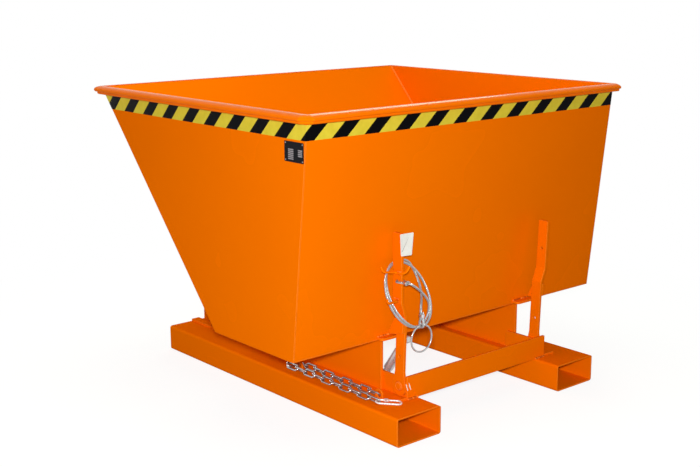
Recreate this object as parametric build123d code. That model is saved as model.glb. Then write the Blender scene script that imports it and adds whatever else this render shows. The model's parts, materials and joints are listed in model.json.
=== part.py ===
from build123d import *
import math
import os

# Tipping hopper on fork pockets. All lengths in millimetres.
# Work frame: y = 0 at the rear ends of the pockets, +Y is the pouring side, z = 0 is the floor.
# Every piece is moved by -SHIFT_Y at export, so the origin is the bottom centre of the whole.

# Fork pockets
POCKET_LENGTH = 1380.0
POCKET_WIDTH = 200.0
POCKET_HEIGHT = 100.0
POCKET_WALL = 5.0
POCKET_CORNER = 9.0
POCKET_SPACING = 804.0

# Hopper sheets
HOPPER_HALF_WIDTH = 748.0
SHEET = 4.0
FLOOR_Z = 289.0
FLOOR_REAR_Y = 229.0
FLOOR_FRONT_Y = 675.0
REAR_SLOPE = 0.1084
FRONT_SLOPE = 0.9012

# Rim
RIM_TOP_Z = 1101.0
RIM_SHEET = 4.0
RIM_OUT = 38.0
RIM_DROP = 5.0
RIM_LIP = 22.0
RIM_LIP_LEAN = 3.0
RIM_CORNER_CUT = 38.0

# Rolling rockers and their guide
PLATE = 10.0
SIDE_CLEARANCE = 0.5
ROCKER_INNER_X = 341.0
ROCKER_REAR_Y = 247.0
ROLL_START_Y = 684.0
ROLL_RADIUS = 440.0
ROLL_END_DEG = 94.0
ROLL_CLEARANCE = 0.3
ROD_DIAMETER = 16.0
ROD_HEIGHT = 34.0
SLOT_CLEARANCE = 0.5
SLOT_SWEEP_DEG = 87.0
RAIL_HEIGHT = 68.0
RAIL_REAR_MARGIN = 34.0
RAIL_FRONT_MARGIN = 9.4
COLLAR_DIAMETER = 36.0
COLLAR_WIDTH = 9.0
NUT_FLATS = 30.0
NUT_WIDTH = 10.0
ROD_TAIL = 5.0

# Rear frame
CROSS_BAR_Y = 110.0
CROSS_BAR_THICK = 10.0
CROSS_BAR_TOP_Z = 181.0
CROSS_BAR_HALF = 354.0
END_STRIP_HEIGHT = 8.0
END_STRIP_LEFT_X = -384.0
END_STRIP_RIGHT_X = 409.0
SHAFT_PLATE_FRONT_Y = 285.0
SHAFT_PLATE_TOP_Z = 165.0
FRONT_TUBE = 60.0
FRONT_TUBE_WALL = 4.0
FRONT_TUBE_Y = 1210.0
GUIDE_STRIP_INNER_X = 361.0
GUIDE_STRIP_OUTER_X = 396.0
GUIDE_STRIP_REAR_Y = 1066.0
GUIDE_STRIP_HEIGHT = 9.0

# Latch
SHAFT_DIAMETER = 25.0
SHAFT_Y = 156.0
SHAFT_Z = 137.0
BUSH_OUTER = 34.0
BUSH_LENGTH = 20.0
BEARING_CLEARANCE = 0.3
HUB_RADIUS = 34.0
LEVER_WIDTH = 42.0
LEVER_FOOT_Z = 190.0
LEVER_LEAN = 0.036
LEVER_LEAN_TOP_LEFT = 0.0
LEVER_LEAN_TOP_RIGHT = 0.040
JOGGLE_LOW_Z = 388.0
JOGGLE_HIGH_Z = 438.0
JOGGLE_OUT = 18.0
LEVER_TOP_LEFT_Z = 678.0
LEVER_TOP_RIGHT_Z = 619.0
LEVER_END_RADIUS = 6.0
LEVER_HOLE = 12.0
UPPER_HOLE_Z = 513.0
LOWER_HOLE_Z = 243.5
NOSE_LOW_Z = 332.0
NOSE_TIP_Y = 197.0
NOSE_TIP_Z = 317.0
NOSE_TOP_Z = 387.0
TAB_REAR_Y = 199.0
TAB_BOTTOM_Z = 293.0
TAB_THICK = 9.0
TAB_INNER_X = 300.0
TAB_OUTER_X = 388.0
TAB_CORNER = 11.0

# Return strut
STRUT_X = 312.0
STRUT_LOW_Y = 265.0
STRUT_LOW_Z = 151.0
STRUT_HIGH_Y = 161.0
STRUT_HIGH_Z = 293.0
STRUT_TUBE = 34.0
STRUT_BORE = 15.0
STRUT_ROD = 14.0
STRUT_EYE = 26.0
STRUT_EYE_THICK = 18.0
STRUT_PIN = 12.0
STRUT_PIN_PLAY = 0.9
STRUT_TUBE_START = 21.0
STRUT_TUBE_LENGTH = 96.0

# Pull rope, hooks and ring
ROPE = 8.0
COIL_X = -325.0
COIL_Y = 144.0
COIL_Z = 459.7
COIL_HALF_WIDTH = 93.2
COIL_HALF_HEIGHT = 111.9
COIL_SKEW_DEG = 10.2
COIL_TILT = 0.30
COIL_STEP = 10.0
COIL_START_DEG = 40.0
COIL_END_DEG = 625.0
FERRULE_LENGTH = 10.0
FERRULE_WALL = 2.2
FERRULE_PLAY = 0.35
HOOK_ROD = 8.0
HOOK_WELD = 0.6
EYE_BEND = 11.0
RING_OUTER = 100.0
RING_WIRE = 6.0
TAIL_X = -316.0
TAIL_Y = 82.0
TAIL_EYE_Z = 373.6

# Safety chain and snap hook
LINK_WIRE = 7.0
LINK_INNER_LENGTH = 50.2
LINK_INNER_WIDTH = 14.0
LINK_SLACK = 0.6
CHAIN_X = -410.0
CHAIN_FIRST_Y = 216.2
CHAIN_AXIS_Z = 111.2
TURN_OFFSET = (-22.8, 22.8, 3.4)
TURN_ROLL_DEG = 135.0
LUG_THICK = 6.0
LUG_WIDTH = 38.0
LUG_HOLE = 22.0
LUG_HOLE_Z = 113.2
LUG_REAR_Y = 190.0
LUG_FRONT = (-432.8, 602.0)
SNAP_WIRE = 7.0
SNAP_HALF = 29.0
SNAP_RADIUS = 14.0
SNAP_CENTRE = (-429.0, 120.6, 108.0)
SNAP_YAW_DEG = -38.0
SNAP_PITCH_DEG = -5.0
SNAP_ROLL_DEG = 5.0
GATE_LENGTH = 34.0
GATE_TONGUE = 3.0
GATE_PIN = 3.0
GATE_PLAY = 0.35


def rear_y(z):
    return FLOOR_REAR_Y - REAR_SLOPE * (z - FLOOR_Z)


def front_y(z):
    return FLOOR_FRONT_Y + FRONT_SLOPE * (z - FLOOR_Z)


WALL_TOP_Z = RIM_TOP_Z - RIM_SHEET
RIM_REAR_Y = rear_y(WALL_TOP_Z) - RIM_OUT
RIM_FRONT_Y = front_y(WALL_TOP_Z) + RIM_OUT
RIM_HALF = HOPPER_HALF_WIDTH + RIM_OUT
OVERALL_LENGTH = RIM_FRONT_Y
SHIFT_Y = OVERALL_LENGTH / 2
PLATE_X0 = ROCKER_INNER_X - SIDE_CLEARANCE - PLATE
PLATE_X1 = ROCKER_INNER_X - SIDE_CLEARANCE
ROCKER_OUTER_X = ROCKER_INNER_X + PLATE
ROLL_CENTRE_Z = POCKET_HEIGHT + ROLL_CLEARANCE + ROLL_RADIUS
ROD_Z = POCKET_HEIGHT + ROLL_CLEARANCE + ROD_HEIGHT
SLOT_WIDTH = ROD_DIAMETER + 2 * SLOT_CLEARANCE
ROLL_TRAVEL = math.radians(SLOT_SWEEP_DEG) * ROLL_RADIUS
RAIL_REAR_Y = ROLL_START_Y - RAIL_REAR_MARGIN
RAIL_FRONT_Y = ROLL_START_Y + ROLL_TRAVEL + SLOT_WIDTH / 2 + RAIL_FRONT_MARGIN
CROSS_BAR_FRONT_Y = CROSS_BAR_Y + CROSS_BAR_THICK

parts = {}
os.makedirs("parts", exist_ok=True)


def yz_prism(outline, x0, x1):
    face = make_face(Polyline(*outline, close=True))
    return extrude(Plane.YZ.offset(x0) * face, amount=x1 - x0, dir=(1, 0, 0))


def box(x0, x1, y0, y1, z0, z1):
    return Pos((x0 + x1) / 2, (y0 + y1) / 2, (z0 + z1) / 2) * Box(x1 - x0, y1 - y0, z1 - z0)


def x_cylinder(y, z, diameter, x0, x1):
    disc = Plane.YZ.offset(x0) * Pos(y, z) * Circle(diameter / 2)
    return extrude(disc, amount=x1 - x0, dir=(1, 0, 0))


def pair(name, solid):
    parts[name + "_right"] = solid
    parts[name + "_left"] = mirror(solid, about=Plane.YZ)


def wire_sweep(path, diameter):
    start = Plane(origin=path @ 0, z_dir=path % 0)
    return sweep(start * Circle(diameter / 2), path=path)


def smooth_path(points, label, tight=()):
    # Straight runs with tangent arcs; each arc takes at most 0.45 of the shorter run beside it.
    # The corners numbered in tight keep the small bend of an eye.
    vectors = [Vector(*p) for p in points]
    radii = []
    for i in range(1, len(vectors) - 1):
        before = vectors[i] - vectors[i - 1]
        after = vectors[i + 1] - vectors[i]
        turn = math.radians(before.get_angle(after))
        shorter = min(before.length, after.length)
        radius = 0.45 * shorter / math.tan(turn / 2)
        radii.append(min(radius, EYE_BEND) if i in tight else radius)
    print(label, "radii from", round(min(radii), 1), "to", round(max(radii), 1))
    return FilletPolyline(*points, radius=radii)


# Fork pockets
def pocket(x):
    section = Plane(origin=(x, 0, POCKET_HEIGHT / 2), x_dir=(1, 0, 0), z_dir=(0, 1, 0))
    outer = RectangleRounded(POCKET_WIDTH, POCKET_HEIGHT, POCKET_CORNER)
    inner = RectangleRounded(POCKET_WIDTH - 2 * POCKET_WALL, POCKET_HEIGHT - 2 * POCKET_WALL,
                             POCKET_CORNER - POCKET_WALL)
    return extrude(section * (outer - inner), amount=POCKET_LENGTH, dir=(0, 1, 0))


pair("fork_pocket", pocket(POCKET_SPACING / 2))

# Cross members and the strips on the pocket tops
parts["cross_bar_rear"] = box(-CROSS_BAR_HALF, CROSS_BAR_HALF, CROSS_BAR_Y, CROSS_BAR_FRONT_Y,
                              POCKET_HEIGHT, CROSS_BAR_TOP_Z)
tube_half = POCKET_SPACING / 2 - POCKET_WIDTH / 2
tube_z = POCKET_HEIGHT / 2
tube_plane = Plane(origin=(-tube_half, FRONT_TUBE_Y, tube_z), x_dir=(0, 1, 0), z_dir=(1, 0, 0))
tube_ring = RectangleRounded(FRONT_TUBE, FRONT_TUBE, 6) - RectangleRounded(
    FRONT_TUBE - 2 * FRONT_TUBE_WALL, FRONT_TUBE - 2 * FRONT_TUBE_WALL, 2)
parts["cross_tube_front"] = extrude(tube_plane * tube_ring, amount=2 * tube_half, dir=(1, 0, 0))
strip_z = POCKET_HEIGHT + END_STRIP_HEIGHT
parts["end_strip_right"] = box(CROSS_BAR_HALF, END_STRIP_RIGHT_X, CROSS_BAR_Y, CROSS_BAR_FRONT_Y, POCKET_HEIGHT, strip_z)
parts["end_strip_left"] = box(END_STRIP_LEFT_X, -CROSS_BAR_HALF, CROSS_BAR_Y, CROSS_BAR_FRONT_Y, POCKET_HEIGHT, strip_z)
pair("guide_strip", box(GUIDE_STRIP_INNER_X, GUIDE_STRIP_OUTER_X, GUIDE_STRIP_REAR_Y, POCKET_LENGTH,
                        POCKET_HEIGHT, POCKET_HEIGHT + GUIDE_STRIP_HEIGHT))

# Shaft plates, bushes and guide rails
plate = yz_prism([(CROSS_BAR_FRONT_Y, POCKET_HEIGHT), (SHAFT_PLATE_FRONT_Y, POCKET_HEIGHT),
                  (SHAFT_PLATE_FRONT_Y, SHAFT_PLATE_TOP_Z), (CROSS_BAR_FRONT_Y, SHAFT_PLATE_TOP_Z)],
                 PLATE_X0, PLATE_X1)
plate = fillet(plate.edges().filter_by(Axis.X).group_by(Axis.Z)[-1].group_by(Axis.Y)[-1], 8)
plate -= x_cylinder(SHAFT_Y, SHAFT_Z, BUSH_OUTER, PLATE_X0 - 1, PLATE_X1 + 1)
pair("shaft_plate", plate)
bush = x_cylinder(SHAFT_Y, SHAFT_Z, BUSH_OUTER, PLATE_X1 - BUSH_LENGTH, PLATE_X1)
bush -= x_cylinder(SHAFT_Y, SHAFT_Z, SHAFT_DIAMETER + 2 * BEARING_CLEARANCE, 0, PLATE_X1 + 1)
pair("shaft_bush", bush)

rail = box(PLATE_X0, PLATE_X1, RAIL_REAR_Y, RAIL_FRONT_Y, POCKET_HEIGHT, POCKET_HEIGHT + RAIL_HEIGHT)
rail = fillet(rail.edges().filter_by(Axis.X).group_by(Axis.Z)[-1], 10)
slot_mid = ROLL_START_Y + ROLL_TRAVEL / 2
rail_slot = Plane.YZ.offset(PLATE_X0 - 1) * Pos(slot_mid, ROD_Z) * SlotCenterToCenter(ROLL_TRAVEL, SLOT_WIDTH)
rail -= extrude(rail_slot, amount=PLATE + 2, dir=(1, 0, 0))
pair("guide_rail", rail)

# Roll guide rod with collars inside the rails and nuts outside the rockers
collar_x1 = PLATE_X0 - SIDE_CLEARANCE
washer_x0 = ROCKER_OUTER_X + SIDE_CLEARANCE
rod_half = washer_x0 + NUT_WIDTH + ROD_TAIL
rod = x_cylinder(ROLL_START_Y, ROD_Z, ROD_DIAMETER, -rod_half, rod_half)
parts["roll_guide_rod"] = chamfer(rod.edges().filter_by(GeomType.CIRCLE), 1.5)
collar = x_cylinder(ROLL_START_Y, ROD_Z, COLLAR_DIAMETER, collar_x1 - COLLAR_WIDTH, collar_x1)
pair("rod_collar", collar - x_cylinder(ROLL_START_Y, ROD_Z, ROD_DIAMETER, 0, rod_half))
hexagon = Plane.YZ.offset(washer_x0) * Pos(ROLL_START_Y, ROD_Z) * RegularPolygon(NUT_FLATS / 2, 6, major_radius=False)
nut = extrude(hexagon, amount=NUT_WIDTH, dir=(1, 0, 0))
pair("rod_nut", nut - x_cylinder(ROLL_START_Y, ROD_Z, ROD_DIAMETER, 0, rod_half))

# Rockers: straight foot, rolling arc, straight close to the front wall, arc slot for the rod
roll_end = math.radians(ROLL_END_DEG)
arc_end = (ROLL_START_Y + ROLL_RADIUS * math.sin(roll_end), ROLL_CENTRE_Z - ROLL_RADIUS * math.cos(roll_end))
arc_mid = (ROLL_START_Y + ROLL_RADIUS * math.sin(roll_end / 2),
           ROLL_CENTRE_Z - ROLL_RADIUS * math.cos(roll_end / 2))
foot_z = POCKET_HEIGHT + ROLL_CLEARANCE
wall_z = arc_end[1] + 70
outline = [
    Line((ROCKER_REAR_Y, foot_z), (ROLL_START_Y, foot_z)),
    ThreePointArc((ROLL_START_Y, foot_z), arc_mid, arc_end),
    Line(arc_end, (front_y(wall_z), wall_z)),
    Line((front_y(wall_z), wall_z), (FLOOR_FRONT_Y, FLOOR_Z)),
    Line((FLOOR_FRONT_Y, FLOOR_Z), (ROCKER_REAR_Y, FLOOR_Z)),
    Line((ROCKER_REAR_Y, FLOOR_Z), (ROCKER_REAR_Y, foot_z)),
]
rocker_face = make_face(outline)
slot_arc = CenterArc((ROLL_START_Y, ROLL_CENTRE_Z), ROLL_RADIUS - ROD_HEIGHT, -90, SLOT_SWEEP_DEG)
rocker_face -= SlotArc(slot_arc, SLOT_WIDTH)
rocker = extrude(Plane.YZ.offset(ROCKER_INNER_X) * rocker_face, amount=PLATE, dir=(1, 0, 0))
pair("rocker", rocker)

# Hopper sheets
inner_half = HOPPER_HALF_WIDTH - SHEET
floor_top = FLOOR_Z + SHEET
rear_thick = SHEET * math.hypot(1, REAR_SLOPE)
front_thick = SHEET * math.hypot(1, FRONT_SLOPE)
parts["hopper_floor"] = yz_prism([(rear_y(FLOOR_Z), FLOOR_Z), (front_y(FLOOR_Z), FLOOR_Z),
                                  (front_y(floor_top), floor_top), (rear_y(floor_top), floor_top)],
                                 -inner_half, inner_half)
parts["hopper_rear_wall"] = yz_prism([(rear_y(floor_top), floor_top),
                                      (rear_y(floor_top) + rear_thick, floor_top),
                                      (rear_y(WALL_TOP_Z) + rear_thick, WALL_TOP_Z),
                                      (rear_y(WALL_TOP_Z), WALL_TOP_Z)], -inner_half, inner_half)
parts["hopper_front_wall"] = yz_prism([(front_y(floor_top), floor_top),
                                       (front_y(WALL_TOP_Z), WALL_TOP_Z),
                                       (front_y(WALL_TOP_Z) - front_thick, WALL_TOP_Z),
                                       (front_y(floor_top) - front_thick, floor_top)],
                                      -inner_half, inner_half)
pair("hopper_side", yz_prism([(rear_y(FLOOR_Z), FLOOR_Z), (front_y(FLOOR_Z), FLOOR_Z),
                              (front_y(WALL_TOP_Z), WALL_TOP_Z), (rear_y(WALL_TOP_Z), WALL_TOP_Z)],
                             inner_half, HOPPER_HALF_WIDTH))


# Rim: a sloping flange on the wall tops with a lip turned down, its four corners cut
def cut_rectangle(z, inset, cut):
    x = RIM_HALF - inset
    y0 = RIM_REAR_Y + inset
    y1 = RIM_FRONT_Y - inset
    points = [(-x, y0 + cut), (-x + cut, y0), (x - cut, y0), (x, y0 + cut),
              (x, y1 - cut), (x - cut, y1), (-x + cut, y1), (-x, y1 - cut)]
    return make_face(Polyline(*[(px, py, z) for px, py in points], close=True))


def opening(z, grow):
    x = inner_half + grow
    y0 = rear_y(WALL_TOP_Z) + rear_thick - grow
    y1 = front_y(WALL_TOP_Z) - front_thick + grow
    cut = 0.6
    points = [(-x, y0 + cut), (-x + cut, y0), (x - cut, y0), (x, y0 + cut),
              (x, y1 - cut), (x - cut, y1), (-x + cut, y1), (-x, y1 - cut)]
    return make_face(Polyline(*[(px, py, z) for px, py in points], close=True))


def frustum(low, high):
    return loft([low, high], ruled=True)


edge_z = RIM_TOP_Z - RIM_DROP
lip_z = edge_z - RIM_LIP
lip_cut = RIM_CORNER_CUT
skin = RIM_SHEET * 0.585786
rim_body = frustum(cut_rectangle(lip_z, RIM_LIP_LEAN, lip_cut - 0.5858 * RIM_LIP_LEAN),
                   cut_rectangle(edge_z, 0, lip_cut))
rim_cap = frustum(cut_rectangle(edge_z, 0, lip_cut), opening(RIM_TOP_Z, 0.5))
rim_room = frustum(cut_rectangle(lip_z - 1, RIM_LIP_LEAN + RIM_SHEET, lip_cut - 0.5858 * (RIM_LIP_LEAN + RIM_SHEET)),
                   cut_rectangle(edge_z - RIM_SHEET, RIM_SHEET, lip_cut - skin))
rim_room_cap = frustum(cut_rectangle(edge_z - RIM_SHEET, RIM_SHEET, lip_cut - skin),
                       opening(WALL_TOP_Z, 0.5))
shaft_y0 = rear_y(WALL_TOP_Z) + rear_thick
shaft_y1 = front_y(WALL_TOP_Z) - front_thick
rim = rim_body + rim_cap - rim_room - rim_room_cap
rim -= box(-inner_half, inner_half, shaft_y0, shaft_y1, lip_z - 20, RIM_TOP_Z + 5)
for name in ("hopper_rear_wall", "hopper_front_wall", "hopper_side_left", "hopper_side_right"):
    rim -= parts[name]
split_x = RIM_HALF - RIM_CORNER_CUT
split_y0 = RIM_REAR_Y + RIM_CORNER_CUT
split_y1 = RIM_FRONT_Y - RIM_CORNER_CUT
low, high = lip_z - 30, RIM_TOP_Z + 30
parts["rim_rear"] = rim & box(-split_x, split_x, RIM_REAR_Y - 50, split_y0, low, high)
parts["rim_front"] = rim & box(-split_x, split_x, split_y1, RIM_FRONT_Y + 50, low, high)
pair("rim_side", rim & box(split_x, RIM_HALF + 50, split_y0, split_y1, low, high))
pair("rim_corner_rear", rim & box(split_x, RIM_HALF + 50, RIM_REAR_Y - 50, split_y0, low, high))
pair("rim_corner_front", rim & box(split_x, RIM_HALF + 50, split_y1, RIM_FRONT_Y + 50, low, high))

# Catch tabs at the foot of the rear wall
tab_top = TAB_BOTTOM_Z + TAB_THICK
tab = yz_prism([(TAB_REAR_Y, TAB_BOTTOM_Z), (rear_y(TAB_BOTTOM_Z), TAB_BOTTOM_Z),
                (rear_y(tab_top), tab_top), (TAB_REAR_Y, tab_top)], TAB_INNER_X, TAB_OUTER_X)
tab = fillet(tab.edges().filter_by(Axis.Z).group_by(Axis.Y)[0], TAB_CORNER)
pair("catch_tab", tab)


# Latch levers: side outline crossed with the joggled thickness outline
def lever_y(z, top_lean):
    if z <= JOGGLE_LOW_Z:
        return SHAFT_Y - LEVER_LEAN * (z - SHAFT_Z)
    return lever_y(JOGGLE_LOW_Z, top_lean) - top_lean * (z - JOGGLE_LOW_Z)


def lever(top_z, top_lean):
    half = LEVER_WIDTH / 2
    foot = lever_y(LEVER_FOOT_Z, top_lean)
    side = [(foot - half, LEVER_FOOT_Z), (lever_y(JOGGLE_LOW_Z, top_lean) - half, JOGGLE_LOW_Z),
            (lever_y(top_z, top_lean) - half, top_z), (lever_y(top_z, top_lean) + half, top_z),
            (lever_y(JOGGLE_LOW_Z, top_lean) + half, JOGGLE_LOW_Z), (foot + half, LEVER_FOOT_Z)]
    hub_left = (SHAFT_Y - HUB_RADIUS, SHAFT_Z)
    hub_right = (SHAFT_Y + HUB_RADIUS, SHAFT_Z)
    edges = [Line(a, b) for a, b in zip(side[:-1], side[1:])]
    flare_right = (SHAFT_Y + half + 4, LEVER_FOOT_Z - 26)
    flare_left = (foot - half - 4, LEVER_FOOT_Z - 26)
    edges += [ThreePointArc(side[-1], flare_right, hub_right),
              ThreePointArc(hub_right, (SHAFT_Y, SHAFT_Z - HUB_RADIUS), hub_left),
              ThreePointArc(hub_left, flare_left, side[0])]
    x0 = ROCKER_INNER_X
    body = extrude(Plane.YZ.offset(x0 - 5) * make_face(edges), amount=PLATE + JOGGLE_OUT + 10, dir=(1, 0, 0))
    bend = PLATE * math.tan(math.atan2(JOGGLE_OUT, JOGGLE_HIGH_Z - JOGGLE_LOW_Z) / 2)
    x1 = x0 + PLATE
    thick = [(x0, 50), (x0, JOGGLE_LOW_Z), (x0 + JOGGLE_OUT, JOGGLE_HIGH_Z), (x0 + JOGGLE_OUT, 900),
             (x1 + JOGGLE_OUT, 900), (x1 + JOGGLE_OUT, JOGGLE_HIGH_Z - bend), (x1, JOGGLE_LOW_Z - bend), (x1, 50)]
    plane = Plane(origin=(0, 0, 0), x_dir=(1, 0, 0), z_dir=(0, -1, 0))
    slab = extrude(plane * make_face(Polyline(*thick, close=True)), amount=400, dir=(0, 1, 0))
    body = body & slab
    body = fillet(body.edges().filter_by(Axis.X).group_by(Axis.Z)[-1], LEVER_END_RADIUS)
    body -= x_cylinder(SHAFT_Y, SHAFT_Z, SHAFT_DIAMETER, x0 - 5, x1 + 5)
    for z in (LOWER_HOLE_Z, UPPER_HOLE_Z):
        body -= x_cylinder(lever_y(z, top_lean), z, LEVER_HOLE, x0 - 5, x1 + JOGGLE_OUT + 5)
    return body


parts["latch_lever_right"] = lever(LEVER_TOP_RIGHT_Z, LEVER_LEAN_TOP_RIGHT)
parts["latch_lever_left"] = mirror(lever(LEVER_TOP_LEFT_Z, LEVER_LEAN_TOP_LEFT), about=Plane.YZ)
shaft = x_cylinder(SHAFT_Y, SHAFT_Z, SHAFT_DIAMETER, -ROCKER_OUTER_X - 4, ROCKER_OUTER_X + 4)
parts["latch_shaft"] = chamfer(shaft.edges().filter_by(GeomType.CIRCLE), 2)

# Latch noses welded on the outer faces of the levers
nose_half = LEVER_WIDTH / 2
nose_low = lever_y(NOSE_LOW_Z, 0) - nose_half
nose_high = lever_y(NOSE_TOP_Z - 8, 0)
nose = yz_prism([(nose_low, NOSE_LOW_Z), (NOSE_TIP_Y - 5, NOSE_TIP_Z), (NOSE_TIP_Y, NOSE_TIP_Z + 6),
                 (nose_high + nose_half, NOSE_TOP_Z - 8), (nose_high - nose_half, NOSE_TOP_Z - 8)],
                ROCKER_OUTER_X, ROCKER_OUTER_X + PLATE)
pair("latch_nose", nose)


# Return strut on the inner side of the left lever
def strut_frame():
    low_pin = Vector(-STRUT_X, STRUT_LOW_Y, STRUT_LOW_Z)
    high_pin = Vector(-STRUT_X, STRUT_HIGH_Y, STRUT_HIGH_Z)
    return low_pin, high_pin, (high_pin - low_pin).normalized(), (high_pin - low_pin).length


low_pin, high_pin, strut_dir, strut_length = strut_frame()


def along_strut(start, length, diameter):
    plane = Plane(origin=low_pin + strut_dir * start, z_dir=strut_dir)
    return extrude(plane * Circle(diameter / 2), amount=length)


def strut_eye(pin, hole):
    x0 = pin.X - STRUT_EYE_THICK / 2
    ring = x_cylinder(pin.Y, pin.Z, STRUT_EYE, x0, x0 + STRUT_EYE_THICK)
    return ring, x_cylinder(pin.Y, pin.Z, hole, x0 - 20, x0 + 40)


eye, eye_hole = strut_eye(low_pin, STRUT_PIN + 2 * BEARING_CLEARANCE)
barrel = along_strut(STRUT_TUBE_START, STRUT_TUBE_LENGTH, STRUT_TUBE)
barrel = chamfer(barrel.edges().filter_by(GeomType.CIRCLE), 2.5)
barrel += along_strut(0, STRUT_TUBE_START + 2, STRUT_BORE) + eye
barrel -= along_strut(STRUT_TUBE_START + 8, STRUT_TUBE_LENGTH, STRUT_BORE)
parts["strut_tube"] = barrel - eye_hole
eye, eye_hole = strut_eye(high_pin, STRUT_PIN + 2 * STRUT_PIN_PLAY)
plunger = along_strut(STRUT_TUBE_START + 12, strut_length - STRUT_TUBE_START - 12, STRUT_ROD) + eye
parts["strut_rod"] = plunger - eye_hole
pin_end = -STRUT_X + STRUT_EYE_THICK / 2 + 6
head_x = -STRUT_X + STRUT_EYE_THICK / 2 + 0.5
parts["strut_pin_low"] = (x_cylinder(STRUT_LOW_Y, STRUT_LOW_Z, STRUT_PIN, -PLATE_X0, pin_end)
                          + x_cylinder(STRUT_LOW_Y, STRUT_LOW_Z, STRUT_PIN + 8, head_x, pin_end))
parts["strut_pin_high"] = (x_cylinder(STRUT_HIGH_Y, STRUT_HIGH_Z, STRUT_PIN, -ROCKER_INNER_X, pin_end)
                           + x_cylinder(STRUT_HIGH_Y, STRUT_HIGH_Z, STRUT_PIN + 8, head_x, pin_end))

# Rope hooks: bent rods welded on the outer face of the left lever
bar_out = ROCKER_OUTER_X + JOGGLE_OUT
touch_x = -(bar_out + HOOK_ROD / 2 - HOOK_WELD)
upper_hook = smooth_path([(-424, 166, 567), (-421, 158, 550), (touch_x, 149, 543), (touch_x, 124, 542),
                          (-362, 110, 548), (-350, 106, 568)], "upper rope hook")
parts["rope_hook_upper"] = wire_sweep(upper_hook, HOOK_ROD) - parts["latch_lever_left"]
lower_hook = smooth_path([(-431, 129, 465.5), (-428, 125, 450), (touch_x, 134, 448), (touch_x, 164, 448.5)],
                         "lower rope hook")
parts["rope_hook_lower"] = wire_sweep(lower_hook, HOOK_ROD) - parts["latch_lever_left"]


# Pull rope: eye in the lever, two turns of coil, tail with an eye for the ring
def coil_point(angle_deg, track):
    # The second turn keeps its distance from the first: to the right of it at the sides, behind it below
    t = math.radians(angle_deg)
    s = t + math.radians(COIL_SKEW_DEG)
    z = COIL_Z - COIL_HALF_HEIGHT * math.sin(s)
    outward = Vector(COIL_HALF_HEIGHT * math.cos(s), 0, -COIL_HALF_WIDTH * math.sin(t)).normalized()
    spread = outward * (track * math.cos(s))
    y = COIL_Y + COIL_TILT * (z + spread.Z - COIL_Z) - track * math.sin(s)
    return (COIL_X + COIL_HALF_WIDTH * math.cos(t) + spread.X, y, z + spread.Z)


hole_y = lever_y(UPPER_HOLE_Z, LEVER_LEAN_TOP_LEFT)
bar_mid = -(ROCKER_INNER_X + JOGGLE_OUT + PLATE / 2)
bar_rear = hole_y - LEVER_WIDTH / 2
leg = ROPE / 2 + FERRULE_PLAY
side_leg = PLATE / 2 + ROPE / 2 + 1.6
ferrule_y1 = bar_rear - 14
ferrule_y0 = ferrule_y1 - FERRULE_LENGTH
eye_points = [(bar_mid - leg, ferrule_y0 - 3, UPPER_HOLE_Z), (bar_mid - leg, ferrule_y1 + 3.2, UPPER_HOLE_Z),
              (bar_mid - side_leg, bar_rear, UPPER_HOLE_Z),
              (bar_mid - side_leg - 4, hole_y, UPPER_HOLE_Z), (bar_mid + side_leg + 4, hole_y, UPPER_HOLE_Z),
              (bar_mid + side_leg, bar_rear, UPPER_HOLE_Z),
              (bar_mid + leg, ferrule_y1 + 3.2, UPPER_HOLE_Z), (bar_mid + leg, ferrule_y0 - 11, UPPER_HOLE_Z)]
lead_points = [(-343, 87, 501), (-308, 95, 477), (-272, 106, 448), (-250, 113, 418)]
turns = []
angle = COIL_START_DEG
while angle < COIL_END_DEG:
    grow = min(1.0, max(0.0, (angle - 275.0) / 85.0))
    turns.append(coil_point(angle, COIL_STEP * grow))
    angle += 27.5
eye_y = TAIL_Y + 0.5
tail_points = [(-284, 188, 568), (-261, 182, 530), (-251, 168, 493.5), (-266, 138, 464), (-290, 110, 447),
               (TAIL_X, eye_y + leg, TAIL_EYE_Z + 54),
               (TAIL_X, eye_y + leg, TAIL_EYE_Z + 14), (TAIL_X, eye_y + leg + 6, TAIL_EYE_Z - 2),
               (TAIL_X, eye_y + leg + 2, TAIL_EYE_Z - 16), (TAIL_X, eye_y - leg - 2, TAIL_EYE_Z - 16),
               (TAIL_X, eye_y - leg - 6, TAIL_EYE_Z - 2), (TAIL_X, eye_y - leg, TAIL_EYE_Z + 14),
               (TAIL_X, eye_y - leg, TAIL_EYE_Z + 36)]
rope_points = eye_points + lead_points + turns + tail_points
last = len(rope_points)
tight_corners = set(range(1, 8)) | set(range(last - 7, last - 1))
rope_path = smooth_path(rope_points, "pull rope", tight_corners)
rope = wire_sweep(rope_path, ROPE)
parts["pull_rope"] = rope
samples = [tuple(rope_path @ (i / 900)) for i in range(901)]
apart = int(3 * ROPE / (rope_path.length / 900)) + 1
least = min(math.dist(samples[i], samples[j]) for i in range(901) for j in range(i + apart, 901))
print("pull rope least gap to itself", round(least - ROPE, 2))
print("pull rope length", round(rope_path.length, 1), "volume ratio",
      round(rope.volume / (math.pi * (ROPE / 2) ** 2 * rope_path.length), 4))


# Ferrules: oval sleeves that hold both strands of an eye
def sleeve(plane, length):
    outer = SlotCenterToCenter(2 * leg, ROPE + 2 * FERRULE_PLAY + 2 * FERRULE_WALL)
    inner = SlotCenterToCenter(2 * leg, ROPE + 2 * FERRULE_PLAY)
    return extrude(plane * (outer - inner), amount=length)


lever_sleeve = Plane(origin=(bar_mid, ferrule_y1, UPPER_HOLE_Z), x_dir=(1, 0, 0), z_dir=(0, -1, 0))
parts["ferrule_lever"] = sleeve(lever_sleeve, FERRULE_LENGTH)
ring_sleeve = Plane(origin=(TAIL_X, eye_y, TAIL_EYE_Z + 19), x_dir=(0, 1, 0), z_dir=(0, 0, 1))
parts["ferrule_ring"] = sleeve(ring_sleeve, FERRULE_LENGTH)

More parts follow.
